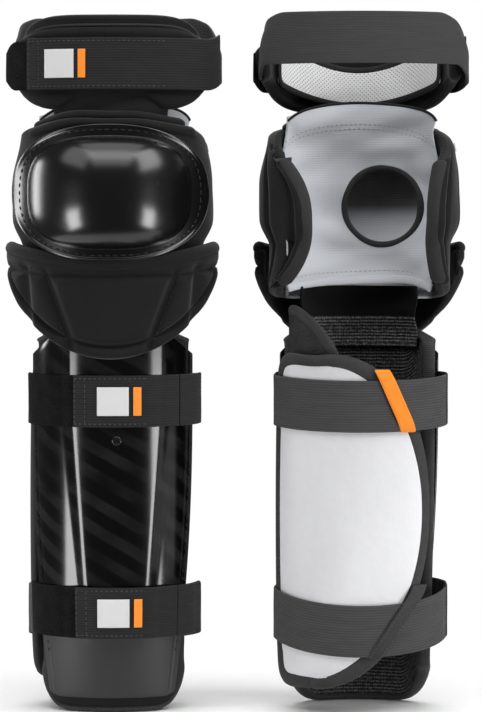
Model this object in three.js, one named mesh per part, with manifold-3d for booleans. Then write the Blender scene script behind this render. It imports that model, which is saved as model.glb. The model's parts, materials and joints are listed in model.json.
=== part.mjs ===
// A pair of ice hockey leg guards: the right guard faces the front and the left guard, its mirror image, faces the back.
// Each guard is a hard shin shell on a foam liner, a hinged calf wrap held by two straps, a padded knee section with
// a hard knee cap and a hung knee sling, and a thigh guard with its own strap.
// Millimetres. Guard frame: x runs from the outer side of the leg to the inner side, y from front to back, z up.
import * as THREE from "three";
import { mergeVertices } from "three/addons/utils/BufferGeometryUtils.js";
import Module from "manifold-3d";

const wasm = await Module();
wasm.setup();

// Driving dimensions.
const GUARD_SPACING = 184;
const GUARD_HEIGHT = 516;
const GAP = 0.3;
const WEBBING = { width: 38, thickness: 1.6 };
const SHIN = {
  top: 298,
  sideDrop: 22,
  flareHeight: 240,
  ankleWidth: 53,
  calfWidth: 57.5,
  ankleDepth: 44,
  calfDepth: 57,
  linerThickness: 10,
  linerSpan: [-12, 192],
  cornerRise: 28,
  cornerStart: 0.68,
  shellThickness: 3,
  shellSpanTop: [8, 172],
  shellSpanBottom: [33, 147],
  shellBottom: 10,
  shellTop: 296,
  shellSideDrop: 32,
  ridgeHeight: 2.5,
  ridgeAngles: [26, 36],
};
const CALF = {
  width: 56,
  depth: 54,
  thickness: 8,
  bottom: 20,
  top: 264,
  widestHeight: 150,
  outerEdge: -52,
  innerEdge: 50,
  lowerArc: { x: -35, power: 2 },
  upperArc: { x: -26, power: 2.2 },
  bindingRadius: 4,
};
const KNEE = {
  bottom: 302,
  top: 436,
  neckWidth: 69,
  width: 76,
  neckDepth: 64,
  depth: 70,
  thickness: 13,
  wingReach: 47,
  wingEndReach: 26,
};
const CAP = {
  x: -1,
  z: 383.5,
  halfWidth: 73,
  halfHeight: 50,
  squareness: 2.8,
  thickness: 3,
  dome: 24,
  domeShare: 0.82,
};
const APRON = { bottom: 260, top: 332, width: 70.5, depth: 65, thickness: 8, rise: 75, lift: 12 };
const SLING = { bottom: 309, top: 452, sideDrop: 9, clearance: 2.5, centreY: -24, sideY: -4, thickness: 2 };
const HOLE = { x: 18, z: 374, radius: 30.5, bindingRadius: 2.2 };
const THIGH = { bottom: 441, top: GUARD_HEIGHT, width: 77, depth: 56, backDepth: 60, thickness: 12 };
const STRAPS = {
  upper: { z: 231, backDrop: 4, width: 57 },
  lower: { z: 75, backDrop: 13, width: 54 },
};
const STRAP_ANGLES = { loopStart: -3, loopEnd: 98, tabEnd: 67, tabHinge: 141, backStart: 195, backEnd: 346 };
const THIGH_STRAP = { frontZ: 478, sideZ: 476, backZ: 497, tabEnd: 40, tabHinge: 170, backEnd: 353 };

const LOOKS = {
  gloss_plastic: { color: 0x0b0b0d, roughness: 0.12 },
  shell_plastic: { color: 0x141417, roughness: 0.15 },
  liner_fabric: { color: 0x1b1b1d, roughness: 0.95 },
  cover_fabric: { color: 0x26272a, roughness: 0.9 },
  sling_fabric: { color: 0x9ea2a6, roughness: 0.9 },
  mesh_fabric: { color: 0xb9bbbd, roughness: 0.95 },
  calf_fabric: { color: 0xd8d9dc, roughness: 0.85 },
  binding_fabric: { color: 0x333437, roughness: 0.85 },
  webbing: { color: 0x2e2f31, roughness: 0.85 },
  loop_pile: { color: 0x111113, roughness: 1 },
  orange_fabric: { color: 0xf08a1d, roughness: 0.7 },
  badge_print: { color: 0xe9ebee, roughness: 0.6 },
};
const materials = Object.fromEntries(
  Object.entries(LOOKS).map(([slot, look]) => [slot, new THREE.MeshStandardMaterial({ metalness: 0, ...look })]),
);

const { lerp, smoothstep, degToRad, radToDeg, clamp } = THREE.MathUtils;

// A point on an oval round the leg: 0 degrees is the outer side, 90 the front, 180 the inner side, 270 the back.
function round(angle, width, depth, z) {
  const a = degToRad(angle);
  return [-width * Math.cos(a), -depth * Math.sin(a), z];
}

// A box grid carried to its place: u, v and w each run from 0 to 1, and w points outwards.
function plate(name, slot, [nu, nv], place) {
  const geometry = new THREE.BoxGeometry(1, 1, 1, nu, nv, 1);
  return formed(name, slot, geometry, (x, y, z) => place(x + 0.5, y + 0.5, z + 0.5));
}

function formed(name, slot, geometry, place) {
  const points = geometry.attributes.position;
  for (let i = 0; i < points.count; i++)
    points.setXYZ(i, ...place(points.getX(i), points.getY(i), points.getZ(i)));
  geometry.computeVertexNormals();
  const mesh = new THREE.Mesh(geometry, materials[slot]);
  mesh.name = name;
  return mesh;
}

// A closed mesh as a manifold-3d solid, and back.
function solidOf(geometry) {
  const bare = new THREE.BufferGeometry().setAttribute("position", geometry.attributes.position.clone());
  bare.setIndex(geometry.index);
  const merged = mergeVertices(bare, 1e-3);
  return new wasm.Manifold(
    new wasm.Mesh({
      numProp: 3,
      vertProperties: merged.attributes.position.array,
      triVerts: new Uint32Array(merged.index.array),
    }),
  );
}

function geometryOf(solid) {
  const mesh = solid.getMesh();
  const geometry = new THREE.BufferGeometry();
  geometry.setAttribute("position", new THREE.BufferAttribute(mesh.vertProperties, 3));
  geometry.setIndex(new THREE.BufferAttribute(mesh.triVerts, 1));
  return geometry;
}

// Shin section: the surface where the liner meets the shell.
const flare = (z) => Math.sin((Math.PI / 2) * clamp(z / SHIN.flareHeight, 0, 1));
const shinWidth = (z) => lerp(SHIN.ankleWidth, SHIN.calfWidth, flare(z));
const shinDepth = (z) => lerp(SHIN.ankleDepth, SHIN.calfDepth, flare(z));
const ridge = (angle) => 1 - smoothstep(Math.abs(angle - 90), ...SHIN.ridgeAngles);
const shellFace = (angle) => SHIN.shellThickness + SHIN.ridgeHeight * ridge(angle);
const sideways = (angle) => Math.abs(Math.cos(degToRad(clamp(angle, 0, 180))));

// How far the bottom edge rises towards the sides of the leg, as a rounded corner seen from the front.
function roundedCorner(side) {
  const share = clamp((side - SHIN.cornerStart) / (1 - SHIN.cornerStart), 0, 1);
  return SHIN.cornerRise * (1 - Math.sqrt(1 - share ** 2));
}

function onShin(angle, off, z) {
  return round(angle, shinWidth(z) + off, shinDepth(z) + off, z);
}

function shinLiner() {
  return plate("shin_liner", "liner_fabric", [20, 7], (u, v, w) => {
    const angle = lerp(...SHIN.linerSpan, u);
    const bottom = roundedCorner(sideways(angle));
    const top = SHIN.top - SHIN.sideDrop * sideways(angle) ** 1.5;
    return onShin(angle, lerp(-SHIN.linerThickness, 0, w) - GAP, lerp(bottom, top, v));
  });
}

function shinShell() {
  return plate("shin_shell", "shell_plastic", [20, 9], (u, v, w) => {
    const from = lerp(SHIN.shellSpanBottom[0], SHIN.shellSpanTop[0], flare(SHIN.top * v));
    const to = lerp(SHIN.shellSpanBottom[1], SHIN.shellSpanTop[1], flare(SHIN.top * v));
    const angle = lerp(from, to, u);
    const bottom = SHIN.shellBottom + roundedCorner(sideways(angle));
    const top = SHIN.shellTop - SHIN.shellSideDrop * sideways(angle) ** 2;
    return onShin(angle, w * shellFace(angle), lerp(bottom, top, v));
  });
}

// The liner's outer-side flap, which the calf wrap is fixed over with hook and loop.
function calfWrapAnchor() {
  const reach = [290, 343];
  const thickness = 3;
  const lowest = 196;
  const slope = 34;
  return plate("calf_wrap_anchor", "loop_pile", [6, 4], (u, v, w) => {
    const top = SHIN.top - slope * (1 - u) ** 2;
    const off = lerp(-thickness, 0, w) - 2;
    return round(lerp(...reach, u), CALF.width + off, CALF.depth + off, lerp(lowest, top, v));
  });
}

// A stretchy inner panel between the liner and the knee section.
function kneeFlexPanel() {
  const reach = [35, 145];
  const lowest = 268;
  const thickness = 2;
  return plate("knee_flex_panel", "liner_fabric", [10, 1], (u, v, w) => {
    const off = -SHIN.linerThickness - 2 * GAP - thickness * (1 - w);
    return onShin(lerp(...reach, u), off, lerp(lowest, SHIN.top, v));
  });
}

// Calf wrap: its free edge is a lower and an upper arc that meet where the wrap is widest. rise runs from -1 at the
// bottom to 1 at the top, and inset draws the whole line inwards.
function freeEdge(rise, inset) {
  const arc = rise < 0 ? CALF.lowerArc : CALF.upperArc;
  const reach = (1 - Math.abs(rise) ** arc.power) ** (1 / arc.power);
  const height = (rise < 0 ? CALF.widestHeight - CALF.bottom : CALF.top - CALF.widestHeight) - inset;
  return {
    x: Math.max(CALF.outerEdge + 6, arc.x + (CALF.innerEdge - arc.x - inset) * reach),
    z: CALF.widestHeight + height * rise,
  };
}

// A point behind the leg, seen from behind at x, off the calf wrap's inner face.
function behind(x, off, z) {
  const angle = 360 - radToDeg(Math.acos(-x / (CALF.width + CALF.thickness / 2)));
  return round(angle, CALF.width + off, CALF.depth + off, z);
}

function calfWrapPanel() {
  const inset = 2 * CALF.bindingRadius + 1.5;
  return plate("calf_wrap_panel", "calf_fabric", [12, 12], (u, v, w) => {
    const edge = freeEdge(Math.sin((v - 0.5) * Math.PI), inset);
    return behind(lerp(edge.x, CALF.outerEdge, u), w * CALF.thickness, edge.z);
  });
}

function calfWrapBinding() {
  const middle = CALF.thickness / 2;
  const alongTop = [CALF.outerEdge, (CALF.outerEdge + CALF.upperArc.x) / 2];
  const points = alongTop.map((x) => new THREE.Vector3(...behind(x, middle, CALF.top)));
  const stations = 16;
  for (let i = 0; i <= stations; i++) {
    const edge = freeEdge(Math.sin((0.5 - i / stations) * Math.PI), 0);
    points.push(new THREE.Vector3(...behind(edge.x, middle, edge.z)));
  }
  const path = new THREE.CatmullRomCurve3(points);
  const section = new THREE.Shape();
  section.absarc(0, 0, CALF.bindingRadius, 0, 2 * Math.PI);
  const geometry = new THREE.ExtrudeGeometry(section, { steps: 36, curveSegments: 3, extrudePath: path });
  const mesh = new THREE.Mesh(geometry, materials.binding_fabric);
  mesh.name = "calf_wrap_binding";
  return mesh;
}

// The loops that keep each strap on the wrap: slanted bars over the webbing.
function strapKeeper(name, slot, halfWidth, low, high) {
  const off = CALF.thickness + 2.1 + 1;
  return plate(name, slot, [1, 8], (u, v, w) => {
    const x = lerp(low[0], high[0], v) + lerp(halfWidth, -halfWidth, u);
    return behind(x, off + w * WEBBING.thickness, lerp(low[1], high[1], v));
  });
}

// Calf straps: each starts as a loop-faced length on the shell and runs behind the leg to the hook tab in front.
function strapHeight(strap, angle) {
  return strap.z - strap.backDrop * Math.max(0, -Math.sin(degToRad(angle)));
}

// A point over the shell where a strap crosses it.
function overShell(strap, angle, lift, z) {
  const off = shellFace(angle) + lift;
  return round(angle, Math.max(strap.width, shinWidth(z)) + off, shinDepth(z) + off, z);
}

function strapPiece(name, slot, strap, [from, to], steps, lift) {
  return plate(name, slot, [steps, 1], (u, v, w) => {
    const angle = lerp(from, to, u);
    const z = strapHeight(strap, angle) + (v - 0.5) * WEBBING.width;
    return overShell(strap, angle, lift + w * WEBBING.thickness, z);
  });
}

function strapBack(name, strap) {
  return plate(name, "webbing", [14, 1], (u, v, w) => {
    const angle = lerp(STRAP_ANGLES.backStart, STRAP_ANGLES.backEnd, u);
    const z = strapHeight(strap, angle) + (v - 0.5) * WEBBING.width;
    const off = CALF.thickness + 0.5 + w * WEBBING.thickness;
    return round(angle, CALF.width + off, CALF.depth + off, z);
  });
}

function calfStrap(which) {
  const strap = STRAPS[which];
  const { loopStart, loopEnd, tabEnd, tabHinge } = STRAP_ANGLES;
  const onLoop = 0.7;
  const onTab = 2.8;
  const onBadge = onTab + WEBBING.thickness + GAP;
  const badge = strapBadge(`${which}_badge`, [80, 111], (angle, off, rise) =>
    overShell(strap, angle, onBadge + off, strapHeight(strap, angle) + rise),
  );
  return [
    strapPiece(`${which}_strap_loop`, "loop_pile", strap, [loopStart, loopEnd], 14, onLoop),
    strapBack(`${which}_strap_back`, strap),
    strapPiece(`${which}_strap_side`, "webbing", strap, [tabHinge + 1, 192], 6, onTab),
    strapPiece(`${which}_strap_tab`, "webbing", strap, [tabEnd, tabHinge - 0.5], 8, onTab),
    badge,
  ];
}

// A sewn patch on a strap's hook tab.
function strapBadge(name, span, place) {
  const height = 24;
  const thickness = 0.8;
  return plate(name, "badge_print", [4, 1], (u, v, w) =>
    place(lerp(...span, u), w * thickness, (v - 0.5) * height),
  );
}

// Knee section: wider behind the cap than at its neck above and where the apron overlaps it.
const kneeSwell = (z) => smoothstep(z, 344, 364) * (1 - smoothstep(z, 390, KNEE.top));

const kneeWidth = (z) => lerp(KNEE.neckWidth, KNEE.width, kneeSwell(z));
const kneeDepth = (z) => lerp(KNEE.neckDepth, KNEE.depth, kneeSwell(z));

function onKnee(angle, off, z) {
  return round(angle, kneeWidth(z) + off, kneeDepth(z) + off, z);
}

// The pad ends in rounded wings beside the leg, which reach furthest back at the middle of their height.
function kneePad() {
  const cornerDrop = 30;
  const cornerRise = 14;
  return plate("knee_pad", "cover_fabric", [20, 7], (u, v, w) => {
    const end = Math.abs(2 * u - 1);
    const z = lerp(KNEE.bottom + cornerRise * end ** 5, KNEE.top - cornerDrop * end ** 4, v);
    const reach = lerp(KNEE.wingReach, KNEE.wingEndReach, Math.abs(2 * v - 1) ** 2.4);
    return onKnee(lerp(-reach, 180 + reach, u), lerp(-KNEE.thickness, 0, w), z);
  });
}

// The cap's outline is a squarish oval seen from the front; its flange lies on the pad and its middle is a dome.
function kneeCap() {
  const profile = [
    [0, 0], [0.35, 0], [0.7, 0], [0.9, 0], [1, 0],
    [1, 1], [0.9, 1], [0.8, 1], [0.72, 1], [0.55, 1], [0.3, 1], [0, 1],
  ].map(([r, w]) => new THREE.Vector2(r, w));
  return formed("knee_cap", "gloss_plastic", new THREE.LatheGeometry(profile, 28), (lx, ly, lz) => {
    const r = Math.min(1, Math.hypot(lx, lz));
    const power = CAP.squareness;
    const spread = r < 1e-6 ? 1 : r / (Math.abs(lx) ** power + Math.abs(lz) ** power) ** (1 / power);
    const x = CAP.x + CAP.halfWidth * lx * spread;
    const z = CAP.z - CAP.halfHeight * lz * spread;
    const rise = (1 - clamp(r / CAP.domeShare, 0, 1) ** 2.4) ** 0.6 * CAP.dome;
    const off = 0.6 + ly * CAP.thickness + rise;
    const angle = radToDeg(Math.acos(-x / (KNEE.width + 3)));
    const flat = round(angle, KNEE.width + 3, KNEE.depth + off, z);
    return [flat[0], flat[1], z];
  });
}

// The padded apron hangs from the knee section over the top of the shin shell.
function kneeApron() {
  const span = [3, 177];
  return plate("knee_apron", "cover_fabric", [16, 4], (u, v, w) => {
    const angle = lerp(...span, u);
    const side = sideways(angle);
    const bottom = APRON.bottom + APRON.rise * (1 - Math.sqrt(1 - (0.985 * side) ** 2));
    const top = APRON.top + APRON.lift * side ** 2;
    const off = w * APRON.thickness;
    return round(angle, APRON.width + off, APRON.depth + off, lerp(bottom, top, v));
  });
}

// The sling hangs between the sides of the knee section and sags towards the front.
const slingHalfWidth = (z) => kneeWidth(z) - KNEE.thickness - SLING.clearance;
const slingY = (x) => lerp(SLING.centreY, SLING.sideY, Math.min(1, (x / slingHalfWidth(KNEE.bottom)) ** 2));

function kneeSling() {
  const sheet = plate("knee_sling", "sling_fabric", [14, 6], (u, v, w) => {
    const z = lerp(SLING.bottom, SLING.top - SLING.sideDrop * (2 * u - 1) ** 2, v);
    const x = (2 * u - 1) * slingHalfWidth(z);
    return [x, slingY(x) - w * SLING.thickness, z];
  });
  const cutter = new THREE.CylinderGeometry(HOLE.radius, HOLE.radius, 120, 28);
  cutter.translate(HOLE.x, 0, HOLE.z);
  sheet.geometry = geometryOf(solidOf(sheet.geometry).subtract(solidOf(cutter)));
  return sheet;
}

function slingRing() {
  const major = HOLE.radius - HOLE.bindingRadius - GAP;
  const ring = new THREE.TorusGeometry(major, HOLE.bindingRadius, 6, 24);
  ring.rotateX(Math.PI / 2);
  ring.translate(HOLE.x, -SLING.thickness / 2, HOLE.z);
  return formed("sling_ring", "binding_fabric", ring, (x, y, z) => [x, y + slingY(x), z]);
}

// The soft neck that joins the knee section to the thigh guard, inside both.
function neckPanel() {
  const reach = [62, 124];
  const lowest = 404;
  const thickness = 3;
  const highest = 436.5;
  return plate("neck_panel", "cover_fabric", [8, 2], (u, v, w) => {
    const off = -KNEE.thickness - 1 - thickness * (1 - w);
    return onKnee(lerp(...reach, u), off, lerp(lowest, highest, v));
  });
}

function onThigh(angle, off, z) {
  return round(angle, THIGH.width + off, THIGH.depth + off, z);
}

function thighPad() {
  const topDrop = 28;
  const bottomRise = 23;
  return plate("thigh_pad", "cover_fabric", [16, 4], (u, v, w) => {
    const angle = lerp(-6, 186, u);
    const side = sideways(angle);
    const z = lerp(THIGH.bottom + bottomRise * side ** 8, THIGH.top - topDrop * side ** 7, v);
    return onThigh(angle, lerp(-THIGH.thickness, 0, w), z);
  });
}

function thighLining() {
  const thickness = 3;
  return plate("thigh_lining", "mesh_fabric", [12, 2], (u, v, w) => {
    const angle = lerp(12, 168, u);
    const bottom = THIGH.bottom + 6 + 18 * sideways(angle) ** 2;
    const top = THIGH.top - 8 - 14 * sideways(angle) ** 2;
    const off = -THIGH.thickness - 1 - thickness * (1 - w);
    return onThigh(angle, off, lerp(bottom, top, v));
  });
}

// The strap runs level round the front and sides, and climbs towards the middle of the back.
function thighStrapZ(angle) {
  const front = Math.sin(degToRad(angle));
  const { frontZ, sideZ, backZ } = THIGH_STRAP;
  return front > 0 ? lerp(sideZ, frontZ, front) : lerp(sideZ, backZ, front ** 2);
}

function thighStrapPiece(name, [from, to], steps, width, depth, lift) {
  return plate(name, "webbing", [steps, 1], (u, v, w) => {
    const angle = lerp(from, to, u);
    const off = lift + w * WEBBING.thickness;
    return round(angle, width + off, depth + off, thighStrapZ(angle) + (v - 0.5) * WEBBING.width);
  });
}

function thighGuard() {
  const patchThickness = 1.2;
  const patchLift = 0.9;
  const patch = plate("thigh_loop_patch", "loop_pile", [4, 1], (u, v, w) => {
    const angle = lerp(6, 60, u);
    return onThigh(angle, patchLift + w * patchThickness, thighStrapZ(angle) + (v - 0.5) * WEBBING.width);
  });
  const lift = patchLift + patchThickness + 0.6;
  const { tabEnd, tabHinge, backEnd } = THIGH_STRAP;
  const onBadge = lift + WEBBING.thickness + GAP;
  const badge = strapBadge("thigh_badge", [54, 77], (angle, off, rise) =>
    onThigh(angle, onBadge + off, thighStrapZ(angle) + rise),
  );
  return [
    thighPad(),
    thighLining(),
    patch,
    thighStrapPiece("thigh_strap_back", [tabHinge + 4, backEnd], 18, THIGH.width, THIGH.backDepth, lift),
    thighStrapPiece("thigh_strap_tab", [tabEnd, tabHinge - 0.5], 14, THIGH.width, THIGH.depth, lift),
    badge,
  ];
}

function guard(side) {
  const group = new THREE.Group();
  group.add(
    shinLiner(),
    shinShell(),
    calfWrapAnchor(),
    kneeFlexPanel(),
    calfWrapPanel(),
    calfWrapBinding(),
    strapKeeper("upper_strap_keeper", "orange_fabric", 5, [36, 206], [15, 252]),
    strapKeeper("lower_strap_keeper", "binding_fabric", 4, [10, 40], [44, 92]),
    ...calfStrap("upper"),
    ...calfStrap("lower"),
    kneePad(),
    kneeCap(),
    kneeApron(),
    kneeSling(),
    slingRing(),
    neckPanel(),
    ...thighGuard(),
  );
  for (const mesh of group.children) mesh.name = `${side}_${mesh.name}`;
  return group;
}

const right = guard("right");
right.position.x = -GUARD_SPACING / 2;
const left = guard("left");
left.position.x = GUARD_SPACING / 2;
left.scale.y = -1;

const pair = new THREE.Group();
pair.add(right, left);
export default pair;
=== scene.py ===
import json
import math

import bpy
import numpy as np
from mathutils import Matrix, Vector


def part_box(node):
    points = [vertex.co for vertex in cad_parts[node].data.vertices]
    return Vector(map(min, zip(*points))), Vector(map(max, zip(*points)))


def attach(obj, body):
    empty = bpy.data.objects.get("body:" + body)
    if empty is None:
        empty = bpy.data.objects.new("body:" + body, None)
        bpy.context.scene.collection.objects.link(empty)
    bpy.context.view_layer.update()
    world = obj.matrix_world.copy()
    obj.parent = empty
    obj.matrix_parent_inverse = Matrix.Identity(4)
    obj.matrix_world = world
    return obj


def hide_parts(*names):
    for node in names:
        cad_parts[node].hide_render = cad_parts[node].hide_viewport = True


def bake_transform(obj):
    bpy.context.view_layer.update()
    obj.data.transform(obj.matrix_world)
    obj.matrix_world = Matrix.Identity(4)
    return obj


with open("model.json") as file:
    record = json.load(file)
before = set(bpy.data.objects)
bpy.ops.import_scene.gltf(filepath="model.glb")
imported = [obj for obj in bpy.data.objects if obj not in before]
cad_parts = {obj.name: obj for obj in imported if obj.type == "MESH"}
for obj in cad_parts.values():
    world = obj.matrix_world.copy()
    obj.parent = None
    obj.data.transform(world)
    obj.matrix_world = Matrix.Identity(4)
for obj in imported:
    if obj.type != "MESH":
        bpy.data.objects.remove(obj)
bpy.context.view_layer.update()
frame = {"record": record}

MM = 0.001
SIDES = {"right": 1, "left": -1}
JOINTS = {joint["name"]: joint for joint in frame["record"]["behaviour"]["joints"]}


def centre_x(side):
    low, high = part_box(f"{side}_shin_liner")
    return (low[0] + high[0]) / 2


CENTRE = {side: centre_x(side) for side in SIDES}


def local_box(node):
    """The right guard's copy of a CAD node, in millimetres from the guard's axis."""
    shift = np.array([CENTRE["right"], 0.0, 0.0])
    return [(np.array(corner) - shift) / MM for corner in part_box(f"right_{node}")]


def centre_and_half(node):
    """The middle of a CAD node's box, and half its size."""
    low, high = local_box(node)
    return (low + high) / 2, (high - low) / 2


def joint_point(name):
    """A right guard joint's pivot, in millimetres from the guard's axis."""
    x, y, z = JOINTS[f"right_{name}"]["pos_m"]
    return np.array([(x - CENTRE["right"]) / MM, y / MM, z / MM])


# Dimensions in millimetres that the CAD shares with the looks.
SHIN_TOP = 298
FLARE_HEIGHT = 240
ANKLE = (53, 44)
CALF = (57.5, 57)
LINER_THICKNESS = 10
CORNER_START = 0.68
CORNER_RISE = 28
WRAP_OVAL = (56, 54)
WRAP_THICKNESS = 8
WRAP_LOW = 20
WRAP_HIGH = 264
WRAP_WIDEST = 150
WRAP_OUTER = -52
WRAP_INNER = 50
KNEE_NECK = (69, 64)
KNEE_WIDE = (76, 70)
KNEE_THICKNESS = 13
WING_EDGE = (46, 58)
WING_SHIFT = (-8, 5)
THIGH_OVAL = (77, 56)
THIGH_THICKNESS = 12
STRAP_WIDTH = 38
STRAP_THICKNESS = 1.8
# Each calf strap's height at the front, how far it drops at the back, and its half width over the shell.
STRAP_HEIGHTS = {"upper": (231, 4, 57), "lower": (75, 13, 54)}


# Small maths


def lerp(a, b, t):
    return a + (b - a) * t


def smooth(x, low, high):
    t = np.clip((x - low) / (high - low), 0, 1)
    return t * t * (3 - 2 * t)


def oval(angle, width, depth, z):
    """A point on an oval round the leg: 0 degrees is its outer side, 90 the front, 180 the inner side."""
    a = np.radians(angle)
    return np.stack(np.broadcast_arrays(-width * np.cos(a), -depth * np.sin(a), z), -1).astype(float)


def angle_at(x, width):
    """The angle of the front point at x on an oval of this half width."""
    return np.degrees(np.arccos(np.clip(-x / width, -1, 1)))


def away(points):
    """The directions straight out from the leg's axis at some points."""
    flat = points * [1, 1, 0]
    return flat / np.linalg.norm(flat, axis=1, keepdims=True)


def full_turn(count):
    return np.linspace(0, 2 * np.pi, count, endpoint=False)


def outward(angle):
    """Directions out from the leg at some angles."""
    return oval(angle, 1, 1, 0 * angle)


def sideways(angle):
    return np.abs(np.cos(np.radians(np.clip(angle, 0, 180))))


def flare(z):
    return np.sin(np.pi / 2 * np.clip(z / FLARE_HEIGHT, 0, 1))


def shin_size(z):
    share = flare(z)
    return lerp(ANKLE[0], CALF[0], share), lerp(ANKLE[1], CALF[1], share)


def on_shin(angle, off, z):
    width, depth = shin_size(z)
    return oval(angle, width + off, depth + off, z)


def knee_swell(z):
    return smooth(z, 344, 364) * (1 - smooth(z, 390, 436))


def on_knee(angle, off, z):
    width, depth = (lerp(neck, wide, knee_swell(z)) for neck, wide in zip(KNEE_NECK, KNEE_WIDE))
    return oval(angle, width + off, depth + off, z)


def on_thigh(angle, off, z):
    return oval(angle, THIGH_OVAL[0] + off, THIGH_OVAL[1] + off, z)


def behind(x, off, z):
    """A point behind the leg at x, off the calf wrap's inner face."""
    angle = 360 - angle_at(x, WRAP_OVAL[0] + WRAP_THICKNESS / 2)
    return oval(angle, WRAP_OVAL[0] + off, WRAP_OVAL[1] + off, z)


def rounded_corner(side):
    share = np.clip((side - CORNER_START) / (1 - CORNER_START), 0, 1)
    return CORNER_RISE * (1 - np.sqrt(1 - share**2))


def ripple(points, size, seed):
    """Soft random waves over points, about -1 to 1, with humps about size apart."""
    rng = np.random.default_rng(seed)
    total = np.zeros(points.shape[:-1])
    for _ in range(7):
        direction = rng.normal(size=3)
        direction /= np.linalg.norm(direction)
        pitch = size * rng.uniform(0.7, 1.9)
        total += np.sin(points @ direction * (2 * np.pi / pitch) + rng.uniform(0, 2 * np.pi))
    return total / 3.2


def line_gap(x, z, a, b):
    """Distance from points (x, z) to the segment from a to b."""
    ax, az = a
    dx, dz = b[0] - ax, b[1] - az
    t = np.clip(((x - ax) * dx + (z - az) * dz) / (dx * dx + dz * dz), 0, 1)
    return np.hypot(x - ax - t * dx, z - az - t * dz)


def hump(gap, width):
    """1 where gap is 0, falling to 0 at about twice width from it."""
    return np.exp(-((gap / width) ** 2))


def seam_groove(x, z, lines, width):
    return hump(np.min([line_gap(x, z, a, b) for a, b in lines], axis=0), width)


# Shapes


class Shape:
    """A mesh in the making: points and texture coordinates in millimetres, faces and a material per face."""

    def __init__(self, points, faces, uv, slots=None):
        self.points = np.asarray(points, float)
        self.faces = [tuple(int(i) for i in face) for face in faces]
        self.uv = np.asarray(uv, float)
        self.slots = list(slots) if slots is not None else [0] * len(self.faces)

    def edge_points(self, rows):
        """Which points of a slab lie in the outer rows of its outer face."""
        found = np.zeros(len(self.points), bool)
        for rim in (self.grid[:rows], self.grid[-rows:], self.grid[:, :rows], self.grid[:, -rows:]):
            found[rim.ravel()] = True
        return found


def joined(shapes):
    """Several shapes in one mesh."""
    whole, *rest = shapes
    for other in rest:
        shift = len(whole.points)
        whole.points = np.vstack([whole.points, other.points])
        whole.uv = np.vstack([whole.uv, other.uv])
        whole.faces += [tuple(i + shift for i in face) for face in other.faces]
        whole.slots += other.slots
    return whole


def lengths_along(path):
    return np.concatenate([[0], np.cumsum(np.linalg.norm(np.diff(path, axis=0), axis=1))])


def ring_faces(rings, sides, start=0, closed=False):
    """The faces between rings of points, each ring's points following the last ring's from number start."""
    index = start + np.arange(rings * sides).reshape(rings, sides)
    ahead = np.roll(index, -1, axis=0)
    quads = np.stack([index, ahead, np.roll(ahead, -1, axis=1), np.roll(index, -1, axis=1)], -1)
    return quads[: None if closed else -1].reshape(-1, 4).tolist()


def steps(count, edge):
    """Values from 0 to 1 in even steps, with extra ones near both ends, where the edge is rounded."""
    near = edge * np.array([0.0, 0.06, 0.22, 0.5])
    middle = np.linspace(edge, 1 - edge, count + 1)
    return np.concatenate([near, middle, 1 - near[::-1]])


def normals_of(points):
    normal = np.cross(np.gradient(points, axis=0), np.gradient(points, axis=1))
    return normal / np.maximum(np.linalg.norm(normal, axis=-1, keepdims=True), 1e-9)


def arc(points, axis):
    """How far each point of a grid is along the grid's lines in one direction."""
    total = np.cumsum(np.linalg.norm(np.diff(points, axis=axis), axis=-1), axis=axis)
    pad = np.zeros_like(total[:1] if axis == 0 else total[:, :1])
    return np.concatenate([pad, total], axis=axis)


def slab(place, counts, half, rim, out=None):
    """A closed sheet of padding or plastic. place(u, v) is its middle surface, half its half thickness, rim
    how far in its edge is rounded, and out adds to its outer face. Slot 0 is its outer face, 1 its inner."""
    coarse = np.linspace(0, 1, 5)
    probe = place(*np.meshgrid(coarse, coarse, indexing="ij"))
    us = steps(counts[0], min(0.3, rim / arc(probe, 0)[-1].mean()))
    vs = steps(counts[1], min(0.3, rim / arc(probe, 1)[:, -1].mean()))
    u, v = np.meshgrid(us, vs, indexing="ij")
    middle = place(u, v)
    normal = normals_of(middle)
    along_u, along_v = arc(middle, 0), arc(middle, 1)
    gaps = np.minimum(along_u, along_u[-1:] - along_u), np.minimum(along_v, along_v[:, -1:] - along_v)
    inset = np.clip(np.hypot(*(np.clip(1 - gap / rim, 0, 1) for gap in gaps)), 0, 1)
    round_off = np.sqrt(1 - inset**2)
    outer_rise = half + (out(u, v, middle) if out else 0)
    outer = middle + normal * (outer_rise * round_off)[..., None]
    inner = middle - normal * (half * round_off)[..., None]
    nu, nv = len(us), len(vs)
    grid = np.arange(nu * nv).reshape(nu, nv)
    back_grid = grid.copy()
    inside = np.zeros((nu, nv), bool)
    inside[1:-1, 1:-1] = True
    back_grid[inside] = nu * nv + np.arange(inside.sum())
    points = np.vstack([outer.reshape(-1, 3), inner[inside]])
    uv_grid = np.stack([along_u.mean(1)[:, None] + 0 * along_u, along_v], -1)
    uv = np.vstack([uv_grid.reshape(-1, 2), uv_grid[inside]])
    faces = []
    for index, way in ((grid, 1), (back_grid, -1)):
        corners = [index[:-1, :-1], index[1:, :-1], index[1:, 1:], index[:-1, 1:]]
        faces.append(np.stack(corners[::way], -1).reshape(-1, 4))
    shape = Shape(points, np.vstack(faces), uv, [0] * len(faces[0]) + [1] * len(faces[1]))
    shape.grid, shape.back_grid, shape.middle, shape.normal = grid, back_grid, middle, normal
    return shape


def resample(points, spacing, closed=False):
    points = np.vstack([points, points[:1]]) if closed else np.asarray(points, float)
    length = lengths_along(points)
    at = np.linspace(0, length[-1], max(2, int(round(length[-1] / spacing))) + 1)
    new = np.stack([np.interp(at, length, points[:, k]) for k in range(points.shape[1])], -1)
    return new[:-1] if closed else new


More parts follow.
